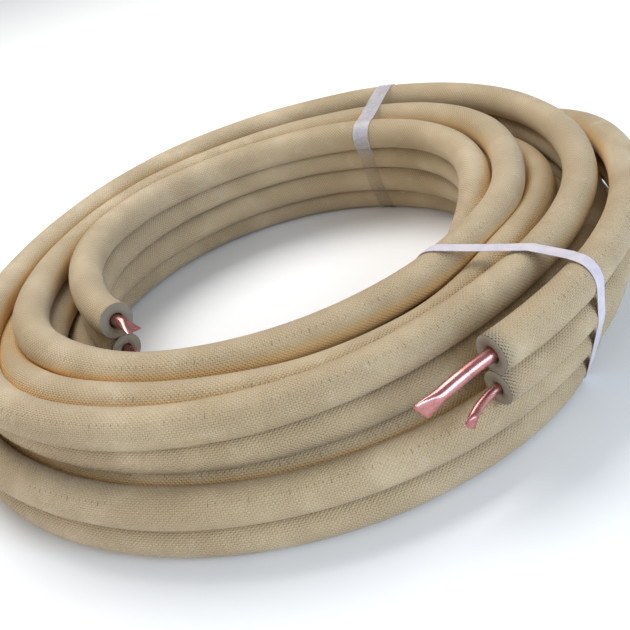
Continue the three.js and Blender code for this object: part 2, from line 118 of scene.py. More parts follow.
RING_1 = [
    (187.4, 88.7, 186.3, 63.0), (187.7, 88.4, 186.5, 62.7), (187.7, 88.2, 186.5, 62.4), (187.7, 88.0, 186.4, 62.2), (187.8, 87.9, 186.3, 62.1),
    (188.2, 87.8, 186.3, 62.1), (188.7, 87.7, 186.4, 62.0), (189.5, 87.7, 186.6, 62.1), (190.3, 87.7, 186.9, 62.2), (191.0, 87.8, 187.2, 62.2),
    (191.4, 87.8, 187.5, 62.3), (191.4, 87.9, 187.8, 62.4), (191.2, 88.1, 188.1, 62.4), (190.7, 88.2, 188.3, 62.6), (190.1, 88.4, 188.4, 62.7),
    (189.4, 88.5, 188.5, 62.7), (188.5, 88.6, 188.5, 62.8), (187.6, 88.5, 188.5, 62.7), (186.7, 88.3, 188.6, 62.6), (186.0, 88.1, 188.9, 62.5),
    (185.5, 87.8, 189.4, 62.3), (185.5, 87.5, 190.1, 62.2), (186.0, 87.3, 191.2, 62.0), (187.2, 87.1, 192.6, 61.8), (188.6, 86.7, 194.5, 61.6),
    (190.5, 86.4, 196.6, 61.3), (192.6, 86.0, 198.9, 61.0), (194.9, 85.7, 201.2, 60.7), (197.5, 85.5, 203.6, 60.4), (200.2, 85.3, 205.9, 60.2),
    (203.0, 85.2, 208.0, 59.9), (205.7, 85.0, 209.7, 59.5), (208.3, 84.7, 211.0, 59.0), (210.5, 84.2, 211.9, 58.5), (212.2, 83.7, 212.2, 57.9),
    (213.4, 83.2, 211.9, 57.4), (214.0, 82.8, 210.9, 57.2), (214.1, 82.9, 209.8, 57.4), (213.7, 83.3, 208.2, 58.1), (213.1, 83.9, 206.3, 59.0),
    (212.3, 84.4, 204.7, 59.8), (211.5, 85.3, 203.7, 60.7), (210.6, 86.4, 203.0, 61.8), (209.7, 87.5, 202.7, 62.7), (208.8, 88.4, 202.5, 63.4),
    (207.6, 89.1, 202.3, 63.8), (206.0, 89.5, 201.9, 64.0), (204.1, 89.7, 201.3, 64.1), (201.8, 89.8, 200.3, 64.0), (199.8, 89.6, 199.1, 63.8),
    (198.1, 89.3, 198.0, 63.5), (196.7, 88.9, 196.8, 63.1), (195.6, 88.7, 195.6, 62.9), (194.3, 88.5, 194.3, 62.7), (192.8, 88.4, 193.0, 62.6),
    (191.2, 88.3, 191.7, 62.5), (189.7, 88.2, 190.5, 62.4), (188.2, 88.0, 189.4, 62.3), (186.9, 87.9, 188.4, 62.2), (185.8, 87.8, 187.5, 62.1),
    (184.9, 87.8, 186.7, 62.1), (184.1, 87.8, 186.1, 62.1), (183.5, 87.8, 185.5, 62.1), (183.2, 87.9, 185.1, 62.1), (183.2, 88.0, 184.9, 62.2),
    (183.3, 88.1, 184.7, 62.4), (183.5, 88.3, 184.7, 62.6), (183.7, 88.5, 184.8, 62.8), (184.0, 88.7, 184.9, 62.9), (184.6, 88.9, 185.2, 63.1),
    (185.6, 89.0, 185.6, 63.2), (186.6, 88.9, 186.0, 63.1),
]
RING_2 = [
    (210.2, 74.9, 224.0, 53.1), (210.1, 73.0, 224.3, 51.4), (210.2, 71.1, 224.3, 49.4), (210.5, 69.3, 224.2, 47.4), (210.8, 67.5, 223.9, 45.3),
    (211.1, 65.8, 223.3, 43.1), (211.4, 64.1, 222.4, 40.8), (211.7, 62.5, 221.3, 38.5), (211.9, 60.8, 219.9, 36.3), (212.0, 59.3, 218.4, 34.3),
    (212.1, 57.7, 216.8, 32.3), (212.1, 56.2, 215.1, 30.6), (212.0, 55.0, 213.7, 29.2), (211.9, 54.1, 212.8, 28.3), (211.9, 53.4, 212.4, 27.6),
    (212.0, 53.0, 212.4, 27.3), (212.2, 52.8, 212.7, 27.0), (212.7, 52.8, 213.2, 27.0), (213.5, 52.9, 214.1, 27.1), (214.7, 52.9, 215.4, 27.2),
    (216.3, 53.0, 217.1, 27.2), (218.0, 53.2, 219.0, 27.4), (219.6, 53.4, 221.1, 27.6), (221.3, 53.7, 223.3, 28.0), (223.0, 54.0, 225.5, 28.3),
    (224.8, 54.4, 227.8, 28.7), (226.5, 54.7, 230.2, 29.1), (228.3, 55.0, 232.5, 29.6), (230.0, 55.3, 234.9, 30.0), (231.6, 55.6, 237.2, 30.4),
    (233.2, 55.8, 239.3, 30.8), (234.6, 56.1, 241.3, 31.1), (235.8, 56.3, 243.0, 31.5), (236.6, 56.5, 244.5, 32.0), (236.9, 56.7, 245.6, 32.4),
    (236.7, 57.1, 246.1, 33.1), (235.8, 58.0, 246.3, 34.4), (234.5, 59.2, 245.9, 36.1), (232.9, 60.6, 245.2, 38.0), (231.1, 62.1, 244.2, 39.9),
    (229.7, 63.7, 242.6, 41.3), (228.8, 65.2, 240.4, 42.2), (228.2, 66.8, 237.8, 42.9), (227.8, 68.4, 234.7, 43.5), (227.5, 70.0, 231.3, 44.5),
    (227.3, 71.8, 228.0, 46.0), (227.0, 73.9, 224.7, 48.2), (226.5, 76.1, 222.3, 50.7), (225.8, 79.1, 221.3, 53.7), (224.8, 81.4, 221.0, 55.9),
    (223.7, 83.0, 220.6, 57.4), (222.7, 84.2, 219.8, 58.5), (221.9, 85.0, 219.2, 59.4), (221.4, 85.6, 219.1, 59.9), (221.2, 85.9, 219.5, 60.1),
    (221.1, 85.8, 219.8, 60.0), (221.1, 85.5, 220.1, 59.7), (221.2, 84.8, 220.3, 59.0), (221.2, 83.7, 220.4, 57.9), (221.0, 82.2, 220.4, 56.4),
    (220.7, 80.8, 220.4, 55.0), (220.2, 79.5, 220.3, 53.7), (219.6, 78.4, 220.1, 52.7), (218.9, 77.6, 220.0, 51.8), (218.1, 77.0, 219.8, 51.3),
    (217.1, 76.8, 219.6, 51.2), (215.8, 77.0, 219.5, 51.5), (214.4, 77.7, 219.4, 52.4), (212.9, 78.8, 219.3, 53.8), (211.3, 79.8, 220.2, 55.6),
    (210.5, 78.8, 222.0, 55.7), (210.3, 77.0, 223.3, 54.7),
]
RING_3 = [
    (247.1, 87.6, 253.5, 62.6), (247.0, 87.5, 253.1, 62.5), (246.5, 87.5, 252.3, 62.4), (245.7, 87.5, 251.1, 62.3), (244.7, 87.6, 249.4, 62.2),
    (243.6, 87.6, 247.6, 62.1), (242.4, 87.6, 245.9, 62.1), (241.3, 87.7, 244.5, 62.0), (240.3, 87.7, 243.1, 62.0), (239.3, 87.7, 242.0, 62.1),
    (238.4, 87.8, 241.0, 62.1), (237.5, 87.9, 240.1, 62.2), (236.6, 88.0, 239.4, 62.4), (235.5, 88.2, 238.7, 62.6), (234.5, 88.2, 238.2, 62.7),
    (233.6, 88.3, 237.9, 62.9), (233.2, 88.4, 237.8, 63.0), (232.9, 88.5, 237.9, 63.2), (232.8, 88.6, 238.2, 63.4), (232.6, 88.6, 238.7, 63.6),
    (232.4, 88.6, 239.5, 63.8), (232.3, 88.6, 240.5, 64.1), (232.4, 88.6, 241.9, 64.6), (232.7, 88.6, 243.5, 65.1), (233.2, 88.6, 245.0, 65.7),
    (234.0, 88.6, 246.7, 66.1), (234.9, 88.6, 248.4, 66.6), (236.0, 88.6, 250.1, 67.0), (237.0, 88.5, 251.8, 67.4), (238.0, 88.4, 253.4, 67.7),
    (239.0, 88.2, 254.9, 67.9), (239.8, 87.8, 256.4, 68.0), (240.6, 87.3, 257.7, 68.0), (241.4, 86.6, 258.8, 67.6), (242.1, 85.9, 259.6, 66.9),
    (242.8, 85.1, 259.9, 65.8), (243.5, 84.6, 259.8, 64.6), (244.0, 84.3, 259.0, 63.3), (244.5, 84.4, 257.8, 62.3), (245.0, 84.7, 256.2, 61.5),
    (245.3, 85.2, 254.9, 61.2), (245.7, 85.7, 253.9, 61.2), (246.3, 86.2, 252.7, 61.2), (246.8, 86.7, 251.9, 61.4), (247.4, 87.3, 251.1, 61.7),
    (248.1, 87.8, 250.3, 62.1), (248.8, 88.3, 249.2, 62.5), (249.5, 88.7, 247.8, 62.9), (250.1, 88.8, 246.4, 63.3), (250.0, 88.7, 244.9, 63.4),
    (249.5, 88.5, 243.5, 63.4), (248.9, 88.3, 242.7, 63.3), (248.2, 88.2, 242.3, 63.1), (247.9, 88.2, 242.4, 62.9), (247.8, 88.1, 242.8, 62.8),
    (248.1, 88.2, 243.7, 62.8), (248.5, 88.4, 244.9, 62.8), (249.1, 88.6, 246.2, 62.9), (249.7, 88.7, 247.6, 63.0), (250.0, 88.9, 248.8, 63.1),
    (250.0, 89.0, 249.8, 63.2), (249.5, 89.0, 250.6, 63.2), (248.5, 88.8, 251.1, 63.2), (247.2, 88.6, 251.3, 63.1), (245.9, 88.4, 251.3, 63.2),
    (244.7, 88.2, 251.3, 63.2), (244.0, 87.9, 251.3, 63.2), (243.9, 87.7, 251.6, 63.1), (244.4, 87.6, 252.1, 63.0), (245.2, 87.6, 252.7, 62.9),
    (246.2, 87.6, 253.2, 62.8), (246.8, 87.6, 253.5, 62.7),
]

# ---------------------------------------------------------------- camera
def make_camera():
    f, cx, cy = 985.5, 376.2, 256.0
    el, az_, roll = math.radians(29.048), math.radians(-26.092), math.radians(-14.364)
    d = np.array([math.sin(az_) * math.cos(el), math.cos(az_) * math.cos(el), -math.sin(el)])
    r0 = np.array([math.cos(az_), -math.sin(az_), 0]); u0 = np.cross(r0, d)
    c, s = math.cos(roll), math.sin(roll)
    r, u = c * r0 + s * u0, -s * r0 + c * u0
    cam = bpy.data.cameras.new("camera")
    cam.sensor_fit = "HORIZONTAL"; cam.sensor_width = 36
    cam.lens = f * 36 / 630
    cam.shift_x = (315 - cx) / 630
    cam.shift_y = (cy - 315) / 630
    cam.clip_start, cam.clip_end = 0.02, 50
    o = bpy.data.objects.new("camera", cam)
    bpy.context.collection.objects.link(o)
    m = Matrix(((r[0], u[0], -d[0], (381.6 + SHIFT[0]) * MM),
                (r[1], u[1], -d[1], (-635.2 + SHIFT[1]) * MM),
                (r[2], u[2], -d[2], 444.4 * MM), (0, 0, 0, 1)))
    o.matrix_world = m
    bpy.context.scene.camera = o
make_camera()
scene = bpy.context.scene
scene.render.resolution_x = scene.render.resolution_y = 630
scene.view_settings.view_transform = "Standard"

# ---------------------------------------------------------------- routes
def smooth(table, closed, sub):
    """Catmull-Rom through the stations, sub points per step; returns fractional station and (R, z)."""
    p = np.array(table, float); n = len(p)
    t = np.arange(0, n if closed else n - 1 + 1e-9, 1.0 / sub)
    i = np.floor(t).astype(int)
    i = np.minimum(i, n - 1 if closed else n - 2); f = (t - i)[:, None]
    def at(k): return p[k % n] if closed else p[np.clip(k, 0, n - 1)]
    p0, p1, p2, p3 = at(i - 1), at(i), at(i + 1), at(i + 2)
    q = 0.5 * ((2 * p1) + (-p0 + p2) * f + (2 * p0 - 5 * p1 + 4 * p2 - p3) * f ** 2 + (-p0 + 3 * p1 - 3 * p2 + p3) * f ** 3)
    return t, q

# the coil isn't quite round: it is a little longer along one diagonal
OVAL = np.array([[0.9497, 0.0509], [0.0509, 1.0504]])
def to_xyz(az_deg, R, z):
    a = np.radians(az_deg)
    xy = np.stack([R * np.cos(a), R * np.sin(a)], -1) @ OVAL.T + np.array(SHIFT)
    return np.concatenate([xy, np.asarray(z, float)[..., None]], -1) * MM

SUB = 2
def chain_points():
    t, q = smooth(CHAIN, False, SUB)
    return CHAIN_START + CHAIN_STEP * t, q
def ring_points(table):
    t, q = smooth(table, True, SUB)
    return 5.0 * t, q

# ---------------------------------------------------------------- tube meshes
def tangents(P, closed):
    if closed:
        T = np.roll(P, -1, 0) - np.roll(P, 1, 0)
    else:
        T = np.gradient(P, axis=0)
    return T / np.linalg.norm(T, axis=1)[:, None]

def frames(P, closed):
    """tangent, outward-ish side and up vectors, kept upright"""
    T = tangents(P, closed)
    up = np.tile([0, 0, 1.0], (len(P), 1))
    side = np.cross(T, up); side /= np.linalg.norm(side, axis=1)[:, None]
    up = np.cross(side, T)
    return T, side, up

class Builder:
    def __init__(self):
        self.v = []; self.f = []; self.uv = []; self.mat = []; self.n = 0
    def grid(self, rows, uvs, closed_len, mat=0, flip=False):
        """rows: (n, m, 3) rings of points, wrapped round; uvs: (n, m + 1, 2)"""
        n, m = rows.shape[:2]
        base = self.n
        self.v.append(rows.reshape(-1, 3)); self.n += n * m
        for i in range(n if closed_len else n - 1):
            j = (i + 1) % n
            for k in range(m):
                l = (k + 1) % m
                a, b, c, d = base + i * m + k, base + i * m + l, base + j * m + l, base + j * m + k
                u0, u1 = uvs[i], uvs[i + 1 if i + 1 < len(uvs) else 0]
                q = [(a, u0[k]), (b, u0[k + 1]), (c, u1[k + 1]), (d, u1[k])]
                if flip: q = q[::-1]
                self.f.append([x[0] for x in q]); self.uv.extend([x[1] for x in q]); self.mat.append(mat)
        return base
    def bridge(self, base_a, base_b, m, uva, uvb, mat=0, flip=False):
        for k in range(m):
            l = (k + 1) % m
            q = [(base_a + k, uva[k]), (base_a + l, uva[k + 1]), (base_b + l, uvb[k + 1]), (base_b + k, uvb[k])]
            if flip: q = q[::-1]
            self.f.append([x[0] for x in q]); self.uv.extend([x[1] for x in q]); self.mat.append(mat)
    def fan(self, base, m, centre, mat=0, flip=False):
        self.v.append(np.array([centre])); c = self.n; self.n += 1
        for k in range(m):
            l = (k + 1) % m
            q = [base + k, base + l, c]
            if flip: q = q[::-1]
            self.f.append(q); self.uv.extend([(0, 0)] * 3); self.mat.append(mat)
    def finish(self, name, mats, smooth_angle=None):
        me = bpy.data.meshes.new(name)
        v = np.concatenate(self.v)
        me.from_pydata([tuple(x) for x in v], [], self.f)
        uvl = me.uv_layers.new(name="UVMap")
        uvl.data.foreach_set("uv", np.array(self.uv, float).reshape(-1))
        for m in mats: me.materials.append(m)
        me.polygons.foreach_set("material_index", self.mat)
        me.polygons.foreach_set("use_smooth", [True] * len(self.f))
        me.update()
        o = bpy.data.objects.new(name, me)
        bpy.context.collection.objects.link(o)
        return o

rng = np.random.default_rng(5)
def wobble(s, seed):
    """soft, long-wave change of the sleeve's radius along its length, in mm"""
    r = np.random.default_rng(seed); w = np.zeros_like(s)
    for _ in range(6):
        w += r.uniform(0.05, 0.13) * np.sin(2 * np.pi * s / r.uniform(0.09, 0.5) + r.uniform(0, 6.28))
    return w

def sleeve(b, P, r, closed, seed, sides=24, bore=None, s0=0.0):
    T, side, up = frames(P, closed)
    seg = np.linalg.norm(np.diff(P, axis=0, append=P[:1]), axis=1)
    s = s0 + np.concatenate([[0], np.cumsum(seg)])[:len(P) + 1]
    sp = s[:len(P)]
    th = -np.pi / 2 + 2 * np.pi * np.arange(sides) / sides
    rr = (r + wobble(sp, seed))[:, None, None] * MM
    if closed:
        # fade the wobble out at the closing point
        fade = np.minimum(1, np.minimum(np.arange(len(P)), len(P) - np.arange(len(P))) / 6.0)[:, None, None]
        rr = r * MM + (rr - r * MM) * fade
    ring = side[:, None, :] * np.cos(th)[None, :, None] + up[:, None, :] * np.sin(th)[None, :, None]
    rows = P[:, None, :] + ring * rr
    vs = np.arange(sides + 1) / sides
    n_uv = len(P) + (1 if closed else 0)
    su = s[:n_uv] if closed else sp
    uvs = np.stack([np.repeat(su[:, None], sides + 1, 1), np.repeat(vs[None], len(su), 0)], -1)
    base = b.grid(rows, uvs, closed, 0)
    if not closed:
        m = sides
        for end in (0, -1):
            i = 0 if end == 0 else len(P) - 1
            d = T[i] * (-1 if end == 0 else 1)
            rim = base + i * m
            if bore is None:
                b.fan(rim, m, P[i], 1, flip=(end == -1)); continue
            # cut face: outer rim -> slightly rounded edge -> bore, then the bore's wall
            rows2 = []
            # the bore sits a little off the middle and is not quite round
            off = up[i] * (-0.2 * MM)
            for rad_, push, wob in ((r * 0.985, 0.25, 0.0), ((r + bore) / 2, 0.35, 0.3), (bore, 0.2, 0.25), (bore * 0.97, -2.0, 0.2), (bore * 0.96, -45.0, 0.0)):
                k = (1 - min(1, max(0, (rad_ - bore) / (r - bore))))
                jit = 1 + 0.012 * wob * np.sin(3 * th + 1.0)[:, None]
                q = P[i] + off * k + (side[i][None] * np.cos(th)[:, None] + up[i][None] * np.sin(th)[:, None]) * rad_ * MM * jit + d[None] * push * MM
                if push < -3:   # follow the turn inside
                    step = 5 if end == 0 else -5
                    j = i + step
                    q = P[j] + (side[j][None] * np.cos(th)[:, None] + up[j][None] * np.sin(th)[:, None]) * rad_ * MM
                rows2.append(q)
            prev = rim; uvr = [(0, v) for v in vs]
            for q in rows2:
                b.v.append(q); nb = b.n; b.n += m
                uvn = [(0.01, v) for v in vs]
                b.bridge(prev, nb, m, uvr, uvn, 1, flip=(end == -1))
                prev, uvr = nb, uvn
            b.fan(prev, m, P[i + (5 if end == 0 else -5)], 1, flip=(end == -1))
    return s[-1]

# ---------------------------------------------------------------- materials
def srgb(r, g, b):
    return tuple(((c / 255 + 0.055) / 1.055) ** 2.4 if c > 10.3 else c / 255 / 12.92 for c in (r, g, b)) + (1,)

class NT:
    def __init__(self, name):
        self.m = bpy.data.materials.new(name); self.m.use_nodes = True
        self.t = self.m.node_tree; self.n = self.t.nodes; self.l = self.t.links
        self.p = self.n["Principled BSDF"]
    def new(self, kind, **kw):
        o = self.n.new(kind)
        for k, v in kw.items(): setattr(o, k, v)
        return o
    def math(self, op, a, b=None, clamp=False, c=None):
        o = self.new("ShaderNodeMath", operation=op, use_clamp=clamp)
        for i, x in enumerate((a, b, c)):
            if x is None: continue
            if isinstance(x, (int, float)): o.inputs[i].default_value = x
            else: self.l.new(x, o.inputs[i])
        return o.outputs[0]
    def noise(self, vec, scale, detail=3, rough=0.5, dist=0.0):
        o = self.new("ShaderNodeTexNoise")
        o.inputs["Scale"].default_value = scale; o.inputs["Detail"].default_value = detail
        o.inputs["Roughness"].default_value = rough; o.inputs["Distortion"].default_value = dist
        if vec is not None: self.l.new(vec, o.inputs["Vector"])
        return o.outputs["Fac"]
    def ramp(self, fac, lo, hi):
        o = self.new("ShaderNodeMapRange"); o.interpolation_type = "SMOOTHSTEP"
        self.l.new(fac, o.inputs[0]); o.inputs[1].default_value = lo; o.inputs[2].default_value = hi
        return o.outputs[0]
    def mix(self, fac, a, b):
        o = self.new("ShaderNodeMix", data_type="RGBA")
        for s, x in ((o.inputs[0], fac), (o.inputs[6], a), (o.inputs[7], b)):
            if isinstance(x, tuple): s.default_value = x
            elif isinstance(x, (int, float)): s.default_value = x
            else: self.l.new(x, s)
        return o.outputs[2]

def foam_material(name, radius, print_on):
    g = NT(name)
    uv = g.new("ShaderNodeUVMap", uv_map="UVMap").outputs[0]
    sep = g.new("ShaderNodeSeparateXYZ"); g.l.new(uv, sep.inputs[0])
    s, v = sep.outputs[0], sep.outputs[1]
    obj = g.new("ShaderNodeTexCoord").outputs["Object"]
    pitch = 1.5
    around = round(2 * math.pi * radius / pitch / 2) * 2
    a = g.math("MULTIPLY", s, 2 * math.pi / (2 * pitch * MM))
    b = g.math("MULTIPLY", v, 2 * math.pi * around / 2)
    # diamonds: raised dots in rows, every other row offset
    ca, cb = g.math("COSINE", a), g.math("COSINE", b)
    dots = g.math("MAXIMUM", g.math("MULTIPLY", ca, cb), 0.0)
    dots = g.math("POWER", dots, 0.7)
    wear = g.noise(obj, 16.0, 4, 0.6)
    patch = g.ramp(g.noise(obj, 7.0, 2, 0.5, 0.6), 0.70, 0.76)      # rubbed, smooth places
    amp = g.math("MULTIPLY", g.ramp(wear, 0.25, 0.62), g.math("SUBTRACT", 1.0, g.math("MULTIPLY", patch, 0.8)))
    amp = g.math("ADD", g.math("MULTIPLY", amp, 0.65), 0.35)
    fine = g.noise(obj, 900.0, 2, 0.6)
    soft = g.noise(obj, 45.0, 3, 0.55)
    h = g.math("MULTIPLY", dots, amp)
    h = g.math("ADD", h, g.math("MULTIPLY", fine, 0.18))
    h = g.math("ADD", h, g.math("MULTIPLY", soft, 0.9))
    bump = g.new("ShaderNodeBump"); bump.inputs["Strength"].default_value = 0.95; bump.inputs["Distance"].default_value = 0.0013
    g.l.new(h, bump.inputs["Height"]); g.l.new(bump.outputs[0], g.p.inputs["Normal"])
    # colour: cream with painted shade in the hollows between the raised dots, slow yellowing and rubbed grey marks
    base = g.mix(g.ramp(g.noise(obj, 5.0, 3), 0.3, 0.7), srgb(210, 192, 162), srgb(200, 180, 146))
    # painted shade: the hollows between the raised dots are darkened towards golden brown
    hollow_shade = g.math("MULTIPLY", g.math("SUBTRACT", 1.0, dots), g.math("ADD", 0.25, g.math("MULTIPLY", amp, 0.4)))
    base = g.mix(hollow_shade, base, srgb(158, 128, 84))
    base = g.mix(g.math("MULTIPLY", g.ramp(g.noise(obj, 60.0, 4, 0.7), 0.55, 0.8), 0.35), base, srgb(214, 203, 180))
    grime = g.ramp(g.noise(obj, 24.0, 5, 0.7, 1.2), 0.62, 0.78)
    base = g.mix(g.math("MULTIPLY", grime, 0.22), base, srgb(134, 120, 98))
    base = g.mix(g.math("MULTIPLY", patch, 0.35), base, srgb(222, 212, 190))
    # painted shade and bounced light: the grooves between the turns, where the AO node finds occlusion, are tinted a
    # deeper golden brown
    ao = g.new("ShaderNodeAmbientOcclusion", samples=4, only_local=True); ao.inputs["Distance"].default_value = 0.022
    groove_shade = g.math("SUBTRACT", 1.0, g.ramp(ao.outputs["AO"], 0.2, 0.85))
    base = g.mix(g.math("MULTIPLY", groove_shade, 0.85), base, srgb(226, 180, 108))
    if print_on:
        # plain measuring ticks: a short one every 5 mm, a longer one every 25 mm
        lo, hi = print_on
        mid = lo + (hi - lo) * 0.5
        after = g.math("GREATER_THAN", v, lo)
        short = g.math("MULTIPLY", g.math("LESS_THAN", g.math("FRACT", g.math("DIVIDE", s, 0.005)), 0.12), g.math("LESS_THAN", v, mid))
        long_ = g.math("MULTIPLY", g.math("LESS_THAN", g.math("FRACT", g.math("DIVIDE", s, 0.025)), 0.03), g.math("LESS_THAN", v, hi))
        fadep = g.ramp(g.noise(obj, 30.0, 3), 0.3, 0.6)
        ink = g.math("MULTIPLY", g.math("MULTIPLY", g.math("MAXIMUM", short, long_), after), fadep)
        base = g.mix(g.math("MULTIPLY", ink, 0.62), base, srgb(92, 84, 74))
    g.l.new(base, g.p.inputs["Base Color"])
    rough = g.math("SUBTRACT", 0.62, g.math("MULTIPLY", patch, 0.22))
    rough = g.math("ADD", rough, g.math("MULTIPLY", g.math("SUBTRACT", wear, 0.5), 0.25))
    g.l.new(rough, g.p.inputs["Roughness"])
    g.p.inputs["Specular IOR Level"].default_value = 0.42
    g.p.inputs["Sheen Weight"].default_value = 0.12
    g.p.inputs["Subsurface Weight"].default_value = 0.0
    return g.m

def foam_cut_material():
    g = NT("foam_cut_face")
    obj = g.new("ShaderNodeTexCoord").outputs["Object"]
    vor = g.new("ShaderNodeTexVoronoi"); vor.inputs["Scale"].default_value = 1600.0; g.l.new(obj, vor.inputs["Vector"])
    n = g.noise(obj, 300.0, 4, 0.6); n2 = g.noise(obj, 60.0, 3)
    base = g.mix(g.ramp(n2, 0.3, 0.7), srgb(186, 176, 160), srgb(164, 152, 134))
    base = g.mix(g.math("MULTIPLY", g.ramp(vor.outputs["Distance"], 0.0, 0.5), 0.25), srgb(132, 122, 106), base)
    g.l.new(base, g.p.inputs["Base Color"])
    g.l.new(g.math("ADD", 0.8, g.math("MULTIPLY", n, 0.15)), g.p.inputs["Roughness"])
    bump = g.new("ShaderNodeBump"); bump.inputs["Strength"].default_value = 0.8; bump.inputs["Distance"].default_value = 0.0005
    g.l.new(g.math("ADD", vor.outputs["Distance"], n), bump.inputs["Height"]); g.l.new(bump.outputs[0], g.p.inputs["Normal"])
    return g.m

def copper_material():
    g = NT("copper_bare")
    obj = g.new("ShaderNodeTexCoord").outputs["Object"]
    uv = g.new("ShaderNodeUVMap", uv_map="UVMap").outputs[0]
    n = g.noise(obj, 70.0, 4, 0.6, 0.8); n2 = g.noise(obj, 420.0, 3, 0.6)
    st = g.new("ShaderNodeMapping"); st.inputs["Scale"].default_value = (20.0, 160.0, 1.0); g.l.new(uv, st.inputs["Vector"])
    streak = g.noise(st.outputs[0], 1.0, 4, 0.6)
    base = g.mix(g.ramp(n, 0.35, 0.7), srgb(200, 142, 138), srgb(172, 108, 104))
    base = g.mix(g.math("MULTIPLY", g.ramp(streak, 0.5, 0.75), 0.22), base, srgb(150, 88, 78))
    g.l.new(base, g.p.inputs["Base Color"])
    g.p.inputs["Metallic"].default_value = 1.0
    g.l.new(g.math("ADD", 0.24, g.math("MULTIPLY", g.ramp(n2, 0.3, 0.8), 0.08)), g.p.inputs["Roughness"])
    bump = g.new("ShaderNodeBump"); bump.inputs["Strength"].default_value = 0.12; bump.inputs["Distance"].default_value = 0.0002
    g.l.new(g.math("ADD", streak, n), bump.inputs["Height"]); g.l.new(bump.outputs[0], g.p.inputs["Normal"])
    return g.m

def strap_white_material():
    g = NT("strap_white_plastic")
    uv = g.new("ShaderNodeUVMap", uv_map="UVMap").outputs[0]
    obj = g.new("ShaderNodeTexCoord").outputs["Object"]
    sep = g.new("ShaderNodeSeparateXYZ"); g.l.new(uv, sep.inputs[0])
    # fine embossed weave of plastic strapping
    a = g.math("SINE", g.math("MULTIPLY", sep.outputs[0], 2 * math.pi / 0.0016))
    b = g.math("SINE", g.math("MULTIPLY", sep.outputs[1], 2 * math.pi * 6))
    n = g.noise(obj, 120.0, 4, 0.6)
    base = g.mix(g.ramp(n, 0.3, 0.7), srgb(204, 195, 199), srgb(188, 180, 190))
    g.l.new(base, g.p.inputs["Base Color"])
    g.l.new(g.math("ADD", 0.36, g.math("MULTIPLY", n, 0.16)), g.p.inputs["Roughness"])
    g.p.inputs["Subsurface Weight"].default_value = 0.0
    bump = g.new("ShaderNodeBump"); bump.inputs["Strength"].default_value = 0.4; bump.inputs["Distance"].default_value = 0.0001
    g.l.new(g.math("ADD", g.math("MULTIPLY", a, b), n), bump.inputs["Height"]); g.l.new(bump.outputs[0], g.p.inputs["Normal"])
    return g.m

def strap_clear_material():
    g = NT("strap_milky_film")
    obj = g.new("ShaderNodeTexCoord").outputs["Object"]
    n = g.noise(obj, 90.0, 4, 0.6, 0.5)
    base = g.mix(g.ramp(n, 0.3, 0.7), srgb(232, 232, 242), srgb(205, 206, 222))
    g.l.new(base, g.p.inputs["Base Color"])
    g.l.new(g.math("ADD", 0.2, g.math("MULTIPLY", n, 0.25)), g.p.inputs["Roughness"])
    tr = g.new("ShaderNodeBsdfTransparent"); tr.inputs[0].default_value = (0.93, 0.92, 0.9, 1)
    mx = g.new("ShaderNodeMixShader")
    zz = g.new("ShaderNodeSeparateXYZ"); g.l.new(obj, zz.inputs[0])
    fade = g.math("ADD", 0.10, g.math("MULTIPLY", g.ramp(zz.outputs[2], 0.065, 0.098), 0.90))
    fac = g.math("MULTIPLY", fade, g.math("ADD", 0.25, g.math("MULTIPLY", g.ramp(n, 0.35, 0.65), 0.18)))
    g.l.new(fac, mx.inputs[0]); g.l.new(tr.outputs[0], mx.inputs[1]); g.l.new(g.p.outputs[0], mx.inputs[2])
    g.l.new(mx.outputs[0], g.n["Material Output"].inputs[0])
    bump = g.new("ShaderNodeBump"); bump.inputs["Strength"].default_value = 0.5; bump.inputs["Distance"].default_value = 0.0003
    g.l.new(n, bump.inputs["Height"]); g.l.new(bump.outputs[0], g.p.inputs["Normal"])
    return g.m

foam_w = foam_material("foam_skin_wide", R_WIDE, (0.60, 0.635))
foam_n = foam_material("foam_skin_narrow", R_NARROW, None)
foam_cut = foam_cut_material()
copper = copper_material()
white = strap_white_material()
clear = strap_clear_material()

# ---------------------------------------------------------------- sleeves
az, Q = chain_points()
P_w = to_xyz(az, Q[:, 0], Q[:, 1]); P_n = to_xyz(az, Q[:, 2], Q[:, 3])
bw, bn = Builder(), Builder()
lw = sleeve(bw, P_w, R_WIDE, False, 1, bore=BORE_WIDE)
ln = sleeve(bn, P_n, R_NARROW, False, 2, bore=BORE_NARROW)
for k, table in enumerate((RING_1, RING_2, RING_3)):
    a2, q2 = ring_points(table)
    # same direction of travel as the chain
    a2, q2 = a2[::-1], q2[::-1]
    lw = sleeve(bw, to_xyz(a2, q2[:, 0], q2[:, 1]), R_WIDE, True, 11 + k, s0=lw)
    ln = sleeve(bn, to_xyz(a2, q2[:, 2], q2[:, 3]), R_NARROW, True, 21 + k, s0=ln)
obj_w = bw.finish("foam_sleeve_wide", [foam_w, foam_cut])
obj_n = bn.finish("foam_sleeve_narrow", [foam_n, foam_cut])
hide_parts("wound_insulated_line", "sleeve_wide_inner_turn", "sleeve_wide_outer_turn")
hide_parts("sleeve_narrow_inner_turn", "sleeve_narrow_outer_turn")

